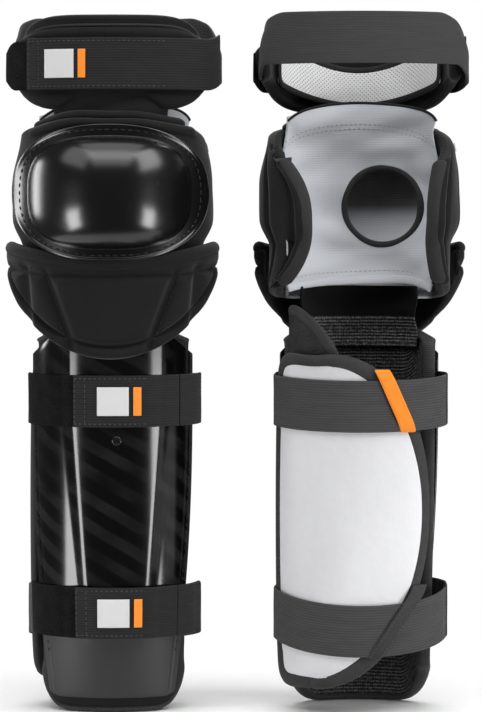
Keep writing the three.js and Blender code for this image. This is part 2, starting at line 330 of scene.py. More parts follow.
def soften(points, rounds, closed=False):
    """Rounds a path's corners by averaging neighbours; an open path keeps its ends."""
    for _ in range(rounds):
        averaged = (np.roll(points, 1, axis=0) + 2 * points + np.roll(points, -1, axis=0)) / 4
        if not closed:
            averaged[0], averaged[-1] = points[0], points[-1]
        points = averaged
    return points


def tube(path, ups, wide, thick, sides=10, closed=False, taper=0.0):
    """A tape or roll along path: wide across, thick along the direction up given at each point."""
    ahead = np.roll(path, -1, axis=0) - np.roll(path, 1, axis=0)
    if not closed:
        ahead[0], ahead[-1] = path[1] - path[0], path[-1] - path[-2]
    ahead /= np.maximum(np.linalg.norm(ahead, axis=1, keepdims=True), 1e-9)
    up = ups - ahead * np.sum(ups * ahead, axis=1, keepdims=True)
    up /= np.maximum(np.linalg.norm(up, axis=1, keepdims=True), 1e-9)
    side = np.cross(ahead, up)
    turn = full_turn(sides)
    along = lengths_along(path)
    size = np.ones(len(path))
    if taper and not closed:
        size = np.sqrt(1 - np.clip(1 - np.minimum(along, along[-1] - along) / taper, 0, 0.97) ** 2)
    wide, thick = wide * size, thick * size
    ring = (
        path[:, None]
        + side[:, None] * (np.cos(turn)[None, :, None] * wide[:, None, None] / 2)
        + up[:, None] * (np.sin(turn)[None, :, None] * thick[:, None, None] / 2)
    )
    faces = ring_faces(len(path), sides, closed=closed)
    if not closed:
        last = sides * len(path)
        faces += [range(sides), range(last - 1, last - 1 - sides, -1)]
    round_uv = turn / (2 * np.pi) * (wide.max() + thick.max()) * 1.6
    uv = np.stack(np.broadcast_arrays(along[:, None], round_uv[None]), -1).reshape(-1, 2)
    return Shape(ring.reshape(-1, 3), faces, uv)


def stitches(path, ups, length=3.2, gap=1.4, thick=0.8, lift=0.1):
    """A run of sewn stitches along path, each a short spindle of thread lying on the surface."""
    path = resample(np.hstack([path, ups]), (length + gap) / 2)
    places, ups = path[:, :3], path[:, 3:]
    points, faces = [], []
    for i in range(0, len(places) - 1, 2):
        ahead = places[i + 1] - places[i]
        ahead /= np.linalg.norm(ahead)
        up = ups[i] / np.linalg.norm(ups[i])
        side = np.cross(ahead, up)
        middle = (places[i] + places[i + 1]) / 2 + up * lift
        base = len(points)
        points += [middle + ahead * length * end - up * 0.3 for end in (-0.5, 0.5)]
        for along in (-0.25, 0.25):
            for a, b in ((1, 0), (0, 1), (-1, 0), (0, -1)):
                points.append(middle + ahead * length * along + side * a * thick / 2 + up * b * thick / 2)
        for k in range(4):
            m = (k + 1) % 4
            faces.append((base, base + 2 + m, base + 2 + k))
            faces.append((base + 1, base + 6 + k, base + 6 + m))
            faces.append((base + 2 + k, base + 2 + m, base + 6 + m, base + 6 + k))
    return Shape(points, faces, np.array(points)[:, :2])


def sewn_rows(rows, off, *sizes):
    """Stitches along several rows of points, moved off straight out from the leg's axis."""
    lifted = (points + away(points) * off for points in rows)
    return joined(stitches(points, away(points), *sizes) for points in lifted)


def in_scene(name, data):
    made = bpy.data.objects.new(name, data)
    bpy.context.scene.collection.objects.link(made)
    return made


def mesh_piece(name, points, faces):
    mesh = bpy.data.meshes.new(name)
    mesh.from_pydata(points, [], faces)
    return in_scene(name, mesh)


def inflate(shape, pinned, pressure, cap):
    """Blows a closed padded shape up, holding the pinned points, and moves none over cap."""
    body = mesh_piece("inflating", (shape.points * MM).tolist(), shape.faces)
    group = body.vertex_groups.new(name="held")
    group.add([int(i) for i in np.flatnonzero(pinned)], 1.0, "REPLACE")
    cloth = body.modifiers.new("cloth", "CLOTH")
    settings = cloth.settings
    settings.vertex_group_mass = "held"
    settings.quality = 4
    settings.mass = 0.25
    settings.tension_stiffness = settings.compression_stiffness = 12
    settings.bending_stiffness = 0.3
    settings.use_pressure = True
    settings.uniform_pressure_force = pressure
    settings.effector_weights.gravity = 0
    frames = 14
    cloth.point_cache.frame_end = frames + 5
    for number in range(1, frames + 1):
        bpy.context.scene.frame_set(number)
    ready = body.evaluated_get(bpy.context.evaluated_depsgraph_get())
    shift = np.array([v.co for v in ready.data.vertices]) / MM - shape.points
    bpy.data.meshes.remove(body.data)
    bpy.context.scene.frame_set(1)
    size = np.linalg.norm(shift, axis=1, keepdims=True)
    shape.points = shape.points + shift * np.minimum(1, cap / np.maximum(size, 1e-9))
    return shape


def to_guard(points, side):
    placed = np.array(points, float) * MM
    placed[..., 1] *= SIDES[side]
    placed[..., 0] += CENTRE[side]
    return placed


def add(name, shape, looks, body, cad=False, blend=None, subdivide=0):
    """Places a shape on both guards. looks names its materials, body is the CAD body it rides on, and cad
    says that it stands for the CAD node of its name. blend gives two bodies and the ends of a bend, which
    are not used: a piece given blend is fixed in place and rides on no body."""
    made = {}
    for side, sign in SIDES.items():
        faces = shape.faces if sign > 0 else [face[::-1] for face in shape.faces]
        piece = made[side] = mesh_piece(f"{side}_{name}", to_guard(shape.points, side).tolist(), faces)
        mesh = piece.data
        layer = mesh.uv_layers.new(name="UVMap")
        corner = np.zeros(len(mesh.loops), int)
        mesh.loops.foreach_get("vertex_index", corner)
        layer.data.foreach_set("uv", shape.uv[corner].ravel())
        mesh.polygons.foreach_set("material_index", shape.slots)
        mesh.polygons.foreach_set("use_smooth", [True] * len(mesh.polygons))
        for look in looks.split():
            mesh.materials.append(LOOK[look])
        if subdivide:
            modifier = piece.modifiers.new("subdivide", "SUBSURF")
            modifier.levels = modifier.render_levels = subdivide
        if blend:
            first, second, *ends = blend
            start, end = (tuple(to_guard(np.array(point, float), side)) for point in ends)
            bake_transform(piece)
        else:
            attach(piece, f"{side}_{body}")
        if cad:
            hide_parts(f"{side}_{name}")
    return made


# Materials


def tint(value):
    """A colour from a grey level or three parts."""
    return (*value, 1) if isinstance(value, tuple) else (value, value, value, 1)


class Shader:
    """A short way to write a node material. Values are node outputs or plain numbers."""

    def __init__(self, name):
        self.material = bpy.data.materials.new(name)
        self.material.use_nodes = True
        self.tree = self.material.node_tree
        self.bsdf = next(n for n in self.tree.nodes if n.type == "BSDF_PRINCIPLED")
        self.uv = self.node("ShaderNodeTexCoord").outputs["UV"]

    def node(self, kind, inputs=None, **settings):
        node = self.tree.nodes.new(kind)
        for key, value in settings.items():
            setattr(node, key, value)
        for key, value in (inputs or {}).items():
            self.put(value, node.inputs[key])
        return node

    def put(self, value, socket):
        if isinstance(value, bpy.types.NodeSocket):
            self.tree.links.new(value, socket)
        else:
            socket.default_value = value

    def math(self, operation, a, b=0.0):
        return self.node("ShaderNodeMath", {0: a, 1: b}, operation=operation).outputs[0]

    def total(self, *terms):
        """The sum of values times their weights."""
        parts = [value if weight == 1 else self.math("MULTIPLY", value, weight) for value, weight in terms]
        while len(parts) > 1:
            parts[:2] = [self.math("ADD", parts[0], parts[1])]
        return parts[0]

    def part(self, axis):
        return self.node("ShaderNodeSeparateXYZ", {0: self.uv}).outputs[axis]

    def turned(self, degrees, stretch=(1, 1, 1)):
        turn = (0, 0, math.radians(degrees))
        inputs = {"Vector": self.uv, "Rotation": turn, "Scale": stretch}
        return self.node("ShaderNodeMapping", inputs).outputs[0]

    def noise(self, size, detail=2.0, vector=None, roughness=0.5):
        """Noise from 0 to 1 with humps about size millimetres apart."""
        inputs = {"Vector": vector or self.uv, "Scale": 1 / size, "Detail": detail, "Roughness": roughness}
        return self.node("ShaderNodeTexNoise", inputs).outputs[0]

    def bands(self, pitch, axis, vector=None, distort=0.0):
        """A sine from 0 to 1 that repeats every pitch millimetres."""
        scale = 2 * math.pi / (20 * pitch)
        inputs = {"Vector": vector or self.uv, "Scale": scale, "Distortion": distort, "Detail": 1.0}
        return self.node("ShaderNodeTexWave", inputs, wave_type="BANDS", bands_direction=axis).outputs["Fac"]

    def crossed(self, pitch, vector=None, distort=0.3):
        """Threads crossing both ways."""
        bands = (self.bands(pitch, axis, vector, distort) for axis in "XY")
        return self.math("MULTIPLY", *bands)

    def cells(self, size, randomness):
        inputs = {"Vector": self.uv, "Scale": 1 / size, "Randomness": randomness}
        return self.node("ShaderNodeTexVoronoi", inputs).outputs["Distance"]

    def ramp(self, value, low, high):
        inputs = {"Value": value, "From Min": low, "From Max": high}
        return self.node("ShaderNodeMapRange", inputs, interpolation_type="SMOOTHSTEP").outputs[0]

    def mix(self, share, a, b):
        a, b = (c if isinstance(c, bpy.types.NodeSocket) else tint(c) for c in (a, b))
        return self.node("ShaderNodeMix", {0: share, 6: a, 7: b}, data_type="RGBA").outputs[2]

    def bump(self, height, distance, strength=1.0):
        inputs = {"Strength": strength, "Distance": distance * MM, "Height": height}
        self.put(self.node("ShaderNodeBump", inputs).outputs[0], self.bsdf.inputs["Normal"])

    def finish(self, color, roughness, sheen=0.0, specular=0.2):
        values = {"Base Color": color, "Roughness": roughness, "Sheen Weight": sheen, "Sheen Roughness": 0.4}
        values |= {"Coat Roughness": 0.1, "Specular IOR Level": specular}
        for key, value in values.items():
            self.put(value, self.bsdf.inputs[key])
        return self.material


def woven(name, dark, light, pitch, depth=0.12, sheen=0.04, mottle=0.35, roughness=0.85):
    """Plain woven cloth: crossed threads, with slow patches of colour and worn, paler high spots."""
    s = Shader(name)
    thread = s.crossed(pitch, distort=0.4)
    fleck = s.noise(pitch * 2.5)
    shade = s.total((thread, 0.55), (s.noise(22, 3), mottle), (fleck, 0.25))
    s.bump(s.total((thread, 1), (fleck, 0.5)), depth)
    return s.finish(s.mix(shade, dark, light), roughness, sheen)


def elastic(name, dark, light, pitch=1.9):
    """Elastic webbing: ribs along its length with a fine cross weave."""
    s = Shader(name)
    rib = s.bands(pitch, "Y", distort=0.25)
    shade = s.total((rib, 0.5), (s.noise(6, 3, s.turned(0, (0.25, 1.5, 1))), 0.6))
    s.bump(s.total((rib, 1), (s.bands(0.9, "X", distort=0.5), 0.3)), 0.14)
    return s.finish(s.mix(shade, dark, light), 0.8, 0.05)


def pile(name, dark, light):
    """Brushed loop pile: soft tufts that catch the light."""
    s = Shader(name)
    tuft = s.noise(1.7, 4, roughness=0.75)
    shade = s.ramp(s.total((tuft, 0.85), (s.noise(14), 0.3)), 0.35, 0.85)
    s.bump(tuft, 0.9)
    return s.finish(s.mix(shade, dark, light), 0.95, 0.02, 0.06)


def terry(name, dark, light):
    """Looped lining in rows."""
    s = Shader(name)
    loop = s.math("SUBTRACT", 1.0, s.cells(2.1, 0.45))
    height = s.total((loop, 1), (s.bands(2.6, "Y", distort=0.8), 0.5))
    shade = s.ramp(s.total((height, 0.6), (s.noise(3, 3), 0.3)), 0.45, 1.05)
    s.bump(height, 0.9)
    return s.finish(s.mix(shade, dark, light), 0.95, 0.06, 0.1)


def mesh_cloth(name, thread, hole, pitch=2.2):
    """Spacer mesh with rows of small holes."""
    s = Shader(name)
    dot = s.ramp(s.crossed(pitch, s.turned(45)), 0.42, 0.78)
    body = s.mix(s.noise(25), thread, 0.86 * thread)
    s.bump(s.math("SUBTRACT", 1.0, dot), 0.5)
    return s.finish(s.mix(dot, body, hole), 0.9, 0.2)


def knit(name, dark, light, pitch=1.3):
    """Stretch knit: fine courses with a faint cross grain."""
    s = Shader(name)
    course = s.bands(pitch, "Y", distort=0.6)
    shade = s.total((course, 0.1), (s.noise(9, 3, s.turned(0, (0.2, 1.2, 1))), 0.45), (s.noise(40), 0.5))
    s.bump(s.total((course, 1), (s.bands(pitch * 1.3, "X", distort=0.5), 0.35)), 0.07)
    return s.finish(s.mix(shade, dark, light), 0.85, 0.08)


def coated(name, dark, light):
    """Smooth coated cloth with a faint silver sheen, fine weave and handling marks."""
    s = Shader(name)
    weave = s.crossed(0.9)
    streak = s.noise(30, 3, s.turned(0, (1, 0.25, 1)))
    mark = s.noise(7, 4)
    s.bump(s.total((weave, 1), (streak, 2.0)), 0.1)
    roughness = s.math("ADD", 0.45, s.math("MULTIPLY", mark, 0.2))
    return s.finish(s.mix(s.total((streak, 0.7), (mark, 0.3)), dark, light), roughness, 0.1)


def gloss(name, color, worn):
    """Moulded glossy plastic with faint flow marks and rub marks."""
    s = Shader(name)
    flow = s.noise(35)
    rub = s.ramp(s.noise(5, 6, s.turned(28, (1, 0.18, 1)), 0.7), 0.62, 0.8)
    s.bump(flow, 0.25, 0.5)
    roughness = s.total((s.math("ADD", 0.2, s.math("MULTIPLY", rub, 0.12)), 1), (flow, 0.06))
    return s.finish(s.mix(rub, color, worn), roughness, specular=0.65)


def shell_plastic(name, matt_height):
    """The shin shell: gloss over broad slanted bands of weave, and a matt lower end. Its v is its height."""
    s = Shader(name)
    slant = s.turned(32)
    band = s.ramp(s.bands(17, "Y", slant, 0.7), 0.35, 0.75)
    tows = s.math("ADD", s.bands(2.3, "Y", slant, 0.5), s.bands(2.3, "X", slant, 0.5))
    cloud = s.noise(40)
    lit = s.math("MULTIPLY", band, s.math("ADD", 0.7, s.math("MULTIPLY", tows, 0.15)))
    weave = s.mix(s.math("MULTIPLY", lit, s.ramp(cloud, 0.3, 0.65)), 0.001, 0.012)
    matt = s.math("SUBTRACT", 1.0, s.ramp(s.part(1), matt_height - 1.0, matt_height + 1.0))
    grain = s.noise(1.1, 3)
    color = s.mix(matt, weave, s.mix(grain, 0.010, 0.017))
    rub = s.ramp(s.noise(6, 6, s.turned(60, (1, 0.15, 1)), 0.7), 0.62, 0.8)
    glossy = s.math("ADD", 0.17, s.math("MULTIPLY", rub, 0.1))
    s.bump(s.total((s.math("MULTIPLY", grain, matt), 1), (cloud, 0.6)), 0.12)
    return s.finish(color, s.total((matt, 0.38), (glossy, 1)), specular=0.5)


def inner_lining(name, shadow_height):
    """The knee section's lining: dark knit at its sides, and pale knit behind the cap that a painted shadow
    darkens above the given height. Its uv is x and z.
    """
    s = Shader(name)
    course = s.bands(1.3, "Y", distort=0.6)
    shade = s.total((course, 0.35), (s.noise(12, 3), 0.5))
    # Painted shadow: behind the cap the pale knit turns dark grey above this height.
    above = s.ramp(s.part(1), shadow_height - 8, shadow_height + 5)
    beside = s.ramp(s.math("ABSOLUTE", s.part(0)), 50, 56)
    light = s.mix(shade, (0.66, 0.68, 0.70), (0.86, 0.88, 0.92))
    s.bump(course, 0.1)
    lining_with_painted_shadow = s.mix(above, light, s.mix(shade, 0.09, 0.22))
    return s.finish(s.mix(beside, lining_with_painted_shadow, 0.010), 0.9, 0.05)


def thread_look(name, level):
    s = Shader(name)
    twist = s.bands(0.8, "X", s.turned(35))
    s.bump(twist, 0.1)
    return s.finish(s.mix(twist, 0.6 * level, level), 0.7, 0.2)


def tape(name, dark, light, pitch=1.4):
    """Folded binding tape with fine cross ribs."""
    s = Shader(name)
    rib = s.bands(pitch, "X", distort=0.4)
    s.bump(rib, 0.12)
    return s.finish(s.mix(s.total((rib, 0.35), (s.noise(9, 3), 0.65)), dark, light), 0.75, 0.06)


LOOK = {
    "cover": woven("cover_cloth", 0.002, 0.010, 1.1, sheen=0.16),
    "cover_soft": woven("brushed_cover_cloth", 0.002, 0.009, 0.9, sheen=0.26, mottle=0.5),
    "liner": woven("liner_cloth", 0.006, 0.020, 1.0),
    "terry": terry("terry_lining", 0.016, 0.17),
    # Painted light: the terry lining again, made paler for the flex panel's inner face.
    "terry_top": terry("flex_panel_terry_painted_light", 0.028, 0.27),
    "anchor": pile("anchor_brushed_cloth", 0.018, 0.05),
    "pile": pile("loop_pile", 0.001, 0.012),
    "elastic": elastic("elastic_webbing", 0.026, 0.062),
    "elastic_fine": elastic("fine_elastic_webbing", 0.030, 0.050, 1.2),
    "elastic_dark": elastic("dark_elastic_webbing", 0.006, 0.020),
    "tape": tape("binding_tape", 0.018, 0.045),
    "tape_dark": tape("dark_binding_tape", 0.006, 0.018),
    "orange": tape("orange_tape", (0.72, 0.18, 0.012), (0.90, 0.30, 0.035), 1.0),
    "sling": knit("sling_knit", (0.50, 0.515, 0.545), (0.62, 0.64, 0.68)),
    "mesh": mesh_cloth("lining_mesh", 0.72, (0.34, 0.34, 0.35)),
    "wrap": coated("wrap_cloth", (0.53, 0.53, 0.545), (0.70, 0.70, 0.72)),
    "cap": gloss("cap_plastic", 0.003, 0.012),
    "shell": shell_plastic("shell_plastic_weave", matt_height=60),
    # The knee lining's dark upper part behind the cap is a painted shadow.
    "pad_inner": inner_lining("knee_inner_lining", shadow_height=371),
    "border": woven("wing_border_cloth", 0.012, 0.036, 1.0, mottle=0.5),
    # Dark cloth made darker still as painted shade of the hollow below the sleeve.
    "inside": woven("flex_cloth_painted_shade", 0.001, 0.005, 1.0, sheen=0.0),
    "thread": thread_look("black_thread", 0.008),
    "thread_grey": thread_look("grey_thread", 0.07),
    "sling_thread": thread_look("sling_thread", 0.46),
    "thread_pale": thread_look("pale_thread", 0.55),
    "white_print": woven("white_print", 0.55, 0.68, 0.8, 0.05, 0.0, 0.2, 0.55),
    "orange_print": woven("orange_print", (0.80, 0.22, 0.02), (0.95, 0.32, 0.05), 0.8, 0.05, 0.0, 0.2, 0.55),
}


# Shin section


# How far apart the points of a border's path are.
BORDER_SPACING = 3


def border_path(shape, lift, rounds=6, parts="abcd"):
    """The middle line round a slab's edge, with its outward directions. parts picks the sides: a the first
    column, b the top row, c the last column, d the bottom row."""
    lines = np.concatenate([shape.middle, shape.normal], -1)
    sides = {"a": lines[0], "b": lines[:, -1], "c": lines[-1, ::-1], "d": lines[::-1, 0]}
    closed = parts == "abcd"
    both = resample(np.vstack([sides[part] for part in parts]), BORDER_SPACING, closed)
    both = soften(both, rounds, closed)
    return both[:, :3] + both[:, 3:] * lift, both[:, 3:]


def shin_liner():
    def place(u, v):
        angle = lerp(-12, 192, u)
        side = sideways(angle)
        high = SHIN_TOP - 22 * side**1.5 - 2
        return on_shin(angle, -LINER_THICKNESS / 2 - 0.5, lerp(rounded_corner(side) + 2.5, high, v))

    shape = slab(place, (60, 70), 3.6, 5)
    held = np.zeros(len(shape.points), bool)
    held[shape.grid.ravel()] = True
    shape = inflate(shape, held, 2.5, 3)
    add("shin_liner", shape, "liner terry", "shin", cad=True)
    path, ups = border_path(shape, 0)
    add("shin_liner_binding", tube(path, ups, 4.6, 10.5, 12, closed=True), "tape", "shin")


def shell_edges(z):
    share = flare(z)
    return lerp(33, 8, share), lerp(147, 172, share)


def shell_ridge(x, z):
    """How much of the raised middle panel stands at x: its sides run closer together towards the ankle."""
    reach = lerp(20, 39, np.clip(z / FLARE_HEIGHT, 0, 1))
    return 1 - smooth(np.abs(x - 4), reach - 8, reach + 2.5)


def shin_shell():
    def place(u, v):
        angle = lerp(*shell_edges(v * SHIN_TOP), u)
        side = sideways(angle)
        return on_shin(angle, 1.5, lerp(11 + rounded_corner(side), 296 - 32 * side**2, v))

    def out(u, v, points):
        x, z = points[..., 0], points[..., 2]
        edge = np.minimum(u, 1 - u) * 150
        raised = 2.6 * shell_ridge(x, z) * smooth(z, 44, 74)
        crown = 0.5 * hump(x - 4, 5) * smooth(z, 60, 120)
        return raised + crown - 0.5 * smooth(edge, 9, 10.5) * (1 - smooth(edge, 12, 14))

    shape = slab(place, (110, 60), 1.3, 1.5, out=out)
    shape.uv[:, 1] = shape.points[:, 2]
    shape.uv[:, 0] -= shape.uv[:, 0].mean()
    add("shin_shell", shape, "shell", "shin", cad=True)
    z = np.linspace(44, 254, 90)
    first, last = shell_edges(z)
    rows = (on_shin(angle, 2.75, z) for angle in (first + 9, last - 9))
    ups = (outward(angle) for angle in (first + 9, last - 9))
    threads = joined(stitches(path, up, 3.4, 2.4) for path, up in zip(rows, ups))
    add("shin_shell_stitches", threads, "thread", "shin")
    shell_rivet()


def shell_rivet():
    """A small flush rivet in the raised panel below the upper strap."""
    height, sides = 202, 28
    centre = on_shin(np.array(94.0), 5.6, np.array(float(height)))
    profile = [(1.6, 0.9), (2.1, 0.5), (2.4, 0.9), (3.2, 0.8), (3.4, 0.1), (3.4, -1.0)]
    turns = full_turn(sides)
    points = [centre + [0, -0.9, 0]]
    for r, h in profile:
        points += [centre + [r * math.cos(t), -h, r * math.sin(t)] for t in turns]
    faces = [(0, 1 + k, 1 + (k + 1) % sides) for k in range(sides)]
    faces += ring_faces(len(profile), sides, 1)
    faces.append(range(len(points) - 1, len(points) - 1 - sides, -1))
    shape = Shape(points, faces, np.array(points)[:, [0, 2]])
    add("shin_shell_rivet", shape, "cap", "shin")


def calf_wrap_anchor():
    """The brushed flap on the outer side, bound along its curved edge."""

    def place(u, v):
        angle = lerp(290, 351, u)
        high = SHIN_TOP - 36 * (1 - u) ** 2.6 - 4 * smooth(u, 0.8, 1.1)
        return oval(angle, WRAP_OVAL[0] - 3.4, WRAP_OVAL[1] - 3.4, lerp(197, high, v))

    shape = slab(place, (24, 30), 1.2, 1.5)
    add("calf_wrap_anchor", shape, "anchor", "shin", cad=True)
    path, ups = border_path(shape, 0.6, parts="ab", rounds=8)
    add("calf_wrap_anchor_binding", tube(path, ups, 8, 3.4, taper=4), "tape", "shin")


def knee_flex_panel():
    def place(u, v):
        sag = 1.6 * np.sin(v * 9) * np.sin(np.pi * v)
        return on_shin(lerp(18, 162, u), -LINER_THICKNESS - 2.2 + sag, lerp(268, 314, v))

    shape = slab(place, (40, 22), 0.9, 1)
    # Painted shade: above this height the inner face too takes the near-black cloth.
    for number, face in enumerate(shape.faces):
        if shape.points[list(face), 2].mean() > 292:
            shape.slots[number] = 0
    pivot = joint_point("knee_flex")
    blend = ("shin", "knee", pivot + [0, 0, -10], pivot + [0, 0, 12])
    # Below that height the inner face wears the terry made paler as painted light.
    add("knee_flex_panel", shape, "inside terry_top", None, cad=True, blend=blend)


# Calf wrap


def wrap_edge(rise, inset):
    """The wrap's free edge, from rise -1 at the bottom to 1 at the top, drawn in by inset."""
    low = rise < 0
    start = np.where(low, -35.0, -26.0)
    power = np.where(low, 2.0, 2.2)
    reach = np.maximum(0, 1 - np.abs(rise) ** power) ** (1 / power)
    height = np.where(low, WRAP_WIDEST - WRAP_LOW, WRAP_HIGH - WRAP_WIDEST) - inset
    x = np.maximum(WRAP_OUTER + 9, start + (WRAP_INNER - start - inset) * reach)
    return x, WRAP_WIDEST + height * rise


def calf_wrap():
    def place(u, v):
        x, z = wrap_edge(np.sin((v - 0.5) * np.pi), 5)
        outer = WRAP_OUTER - 3 - 3 * np.cos((v - 0.5) * np.pi)
        return behind(lerp(x, outer, u), WRAP_THICKNESS / 2 + 0.4, z)

    shape = slab(place, (44, 60), 3.0, 4)
    pinned = shape.edge_points(3)
    for height, drop, _ in STRAP_HEIGHTS.values():
        pinned |= np.abs(shape.points[:, 2] - height + drop) < STRAP_WIDTH / 2 - 3
    shape = inflate(shape, pinned, 3.0, 4)
    shape.points[:, 1] += ripple(shape.points * [1, 1, 0.35], 40, 3) * 0.9 * (~pinned)
    add("calf_wrap_panel", shape, "wrap terry", "calf_wrap", cad=True)
    path, ups = border_path(shape, 0, rounds=10)
    binding = tube(path, ups, 14, 8.4, 14, closed=True)
    add("calf_wrap_binding", binding, "tape", "calf_wrap", cad=True)


def keeper(name, look, thread, half_width, low, high):
    """A slanted loop sewn to the wrap over a strap, with rounded ends that turn down to the wrap."""

    def place(u, v):
        bow = 1 - (2 * v - 1) ** 6
        x = lerp(low[0], high[0], v) + lerp(half_width, -half_width, u)
        return behind(x, WRAP_THICKNESS + 0.9 + 3.0 * bow, lerp(low[1], high[1], v))

    add(name, slab(place, (8, 34), 0.9, 1.2), look, "calf_wrap", cad=True)
    v = np.linspace(0.03, 0.97, 40)
    rows = [place(np.full(40, share), v) for share in (0.14, 0.86)]
    add(f"{name}_stitches", sewn_rows(rows, 0.95, 2.2, 1.2, 0.5), thread, "calf_wrap")


def keepers():
    keeper("upper_strap_keeper", "orange", "orange", 5.2, (31.5, 208), (13.5, 254))
    keeper("lower_strap_keeper", "tape", "thread_grey", 4.8, (8, 42), (40, 95))


# Straps


def strap_middle(name, angle):
    height, drop, _ = STRAP_HEIGHTS[name]
    return height - drop * np.maximum(0, -np.sin(np.radians(angle)))


def over_shell(name, angle, lift, z):
    width, depth = shin_size(z)
    off = 3 + 2.5 * (1 - smooth(np.abs(angle - 90), 26, 36)) + lift
    return oval(angle, np.maximum(STRAP_HEIGHTS[name][2], width) + off, depth + off, z)


def ribbon(line, count, width=STRAP_WIDTH, thickness=STRAP_THICKNESS, wave=0.35, seed=1):
    """Webbing: line(u, rise) gives a point a share u along it and rise above its middle."""

    def place(u, v):
        return line(u, (v - 0.5) * width)

    def out(u, v, points):
        return ripple(points, 30, seed) * wave * 0.5

    return slab(place, (count, 12), thickness / 2, 1.2, out=out)


def badge(name, surface, middle, body, height=21):
    """A plain printed patch: a pale block with one orange bar beside it."""
    parts = []
    for from_x, to_x in ((-15, 6.5), (9.5, 15)):

        def place(u, v, from_x=from_x, to_x=to_x):
            return surface(middle + lerp(from_x, to_x, u), lerp(-height / 2, height / 2, v))

        part = slab(place, (14, 10), 0.35, 0.8)
        part.slots = [len(parts)] * len(part.slots)
        parts.append(part)
    add(name, joined(parts), "white_print orange_print", body, cad=True)


def calf_strap(name):
    height = STRAP_HEIGHTS[name][0]

    def stretch(first, last, place):
        """A stretch of the strap between two angles, laid where place(angle, z) puts it."""

        def line(u, rise):
            angle = lerp(first, last, u)
            return place(angle, strap_middle(name, angle) + rise)

        return line

    def on_loop(angle, z):
        return over_shell(name, angle, 1.5, z)

    def on_tab(angle, z):
        return over_shell(name, angle, 3.7, z)

    def over_wrap(angle, z):
        return oval(angle, WRAP_OVAL[0] + WRAP_THICKNESS + 1.5, WRAP_OVAL[1] + WRAP_THICKNESS + 1.5, z)

    def root_line(u, rise):
        z = strap_middle(name, lerp(-13.5, -4.5, u)) + rise
        return lerp(over_wrap(-13.5, z), over_shell(name, -4.5, 2.4, z), u[..., None])

    def beside(angle, z):
        return lerp(on_tab(angle, z), over_wrap(angle, z), smooth(angle, 168, 193)[..., None])

    loop = ribbon(stretch(-4, 98, on_loop), 60, thickness=2.2, wave=0.5, seed=2)
    add(f"{name}_strap_loop", loop, "pile", "shin", cad=True)
    pivot = joint_point("calf_wrap_swing") * [1, 1, 0] + [0, 0, height]
    blend = ("calf_wrap", "shin", pivot + [0, 1, 0], pivot + [0, -10, 0])
    add(f"{name}_strap_root", ribbon(root_line, 10, thickness=1.6), "elastic", None, blend=blend)
    back = ribbon(stretch(194.2, 346.2, over_wrap), 90, seed=4)
    add(f"{name}_strap_back", back, "elastic", "calf_wrap", cad=True)

    hinge = joint_point(f"{name}_strap_swing")
    blend = ("calf_wrap", f"{name}_strap", hinge + [0, 2, 0], hinge + [0, -12, 0])
    side = ribbon(stretch(141.2, 193.8, beside), 36, seed=5)
    add(f"{name}_strap_side", side, "elastic_dark", None, cad=True, blend=blend)

    fold, ahead = joint_point(f"{name}_tab_peel"), np.array([-0.8, -0.6, 0])
    blend = (f"{name}_strap", f"{name}_tab", fold - ahead, fold + ahead * 10)
    tab_line = stretch(66, 140.8, on_tab)
    tab = ribbon(tab_line, 50, seed=6)
    add(f"{name}_strap_tab", tab, "elastic_dark", None, cad=True, blend=blend)
    tab_trim(name, tab_line)

    def surface(x, rise):
        angle = angle_at(x, STRAP_HEIGHTS[name][2] + 6)
        return over_shell(name, angle, 5.2, strap_middle(name, angle) + rise)

    badge(f"{name}_badge", surface, 6, f"{name}_tab")


def tab_trim(name, line, share=0.17):
    """The sewn end of a hook tab: two rows of stitching across it and one along each edge."""
    half = STRAP_WIDTH / 2
    across, along = np.linspace(-half + 3, half - 3, 30), np.linspace(0.015, 0.62, 60)
    rows = [line(np.full(30, u), across) for u in (0.015, share * 0.62)]
    rows += [line(along, np.full(60, rise)) for rise in (half - 2.4, -half + 2.4)]
    add(f"{name}_tab_stitches", sewn_rows(rows, 0.95, 2.4, 1.3, 0.5), "thread_grey", f"{name}_tab")


# Knee section


def knee_pad():
    wide, seams = 370, (14, 46)

    def place(u, v):
        end = np.abs(2 * u - 1)
        z = lerp(304 + 14 * end**5, 435 - 30 * end**4, v)
        width = -on_knee(0, -KNEE_THICKNESS / 2, z)[..., 0]
        edges = (lerp(WING_EDGE[0] + shift, WING_EDGE[1], np.abs(2 * v - 1) ** 2.4) for shift in WING_SHIFT)
        first, last = (angle_at(-edge, width) for edge in edges)
        return on_knee(lerp(-first, 180 + last, u), -KNEE_THICKNESS / 2, z)

    def out(u, v, points):
        border = np.minimum(u, 1 - u) * wide
        channel = hump(border - seams[0], 2.6) + 0.6 * hump(border - seams[1], 2.6)
        roll = 2.4 * hump(border - 7, 5)
        return roll - 4.2 * channel * smooth(v, 0.02, 0.12) * (1 - smooth(v, 0.88, 0.98))

    shape = slab(place, (150, 42), 5.2, 5, out=out)
    points = shape.points
    u = np.zeros(len(points))
    u[shape.grid] = u[shape.back_grid] = np.linspace(0, 1, len(shape.grid))[:, None]
    edge = np.minimum(u, 1 - u) * wide
    under_cap = (points[:, 1] < -40) & (np.abs(points[:, 0]) < 66)
    sewn_down = (np.abs(edge - seams[0]) < 2.5) | (np.abs(edge - seams[1]) < 2)
    shape = inflate(shape, shape.edge_points(2) | sewn_down | under_cap, 3.0, 4)
    shape.points[:, :2] *= (1 + 0.008 * ripple(shape.points, 34, 9) * (~under_cap))[:, None]
    shape.uv = shape.points[:, [0, 2]]
    add("knee_pad", shape, "cover pad_inner", "knee", cad=True)
    wing_seams(place)
    wing_borders(place)
    wing_tacks()
    knee_collar()


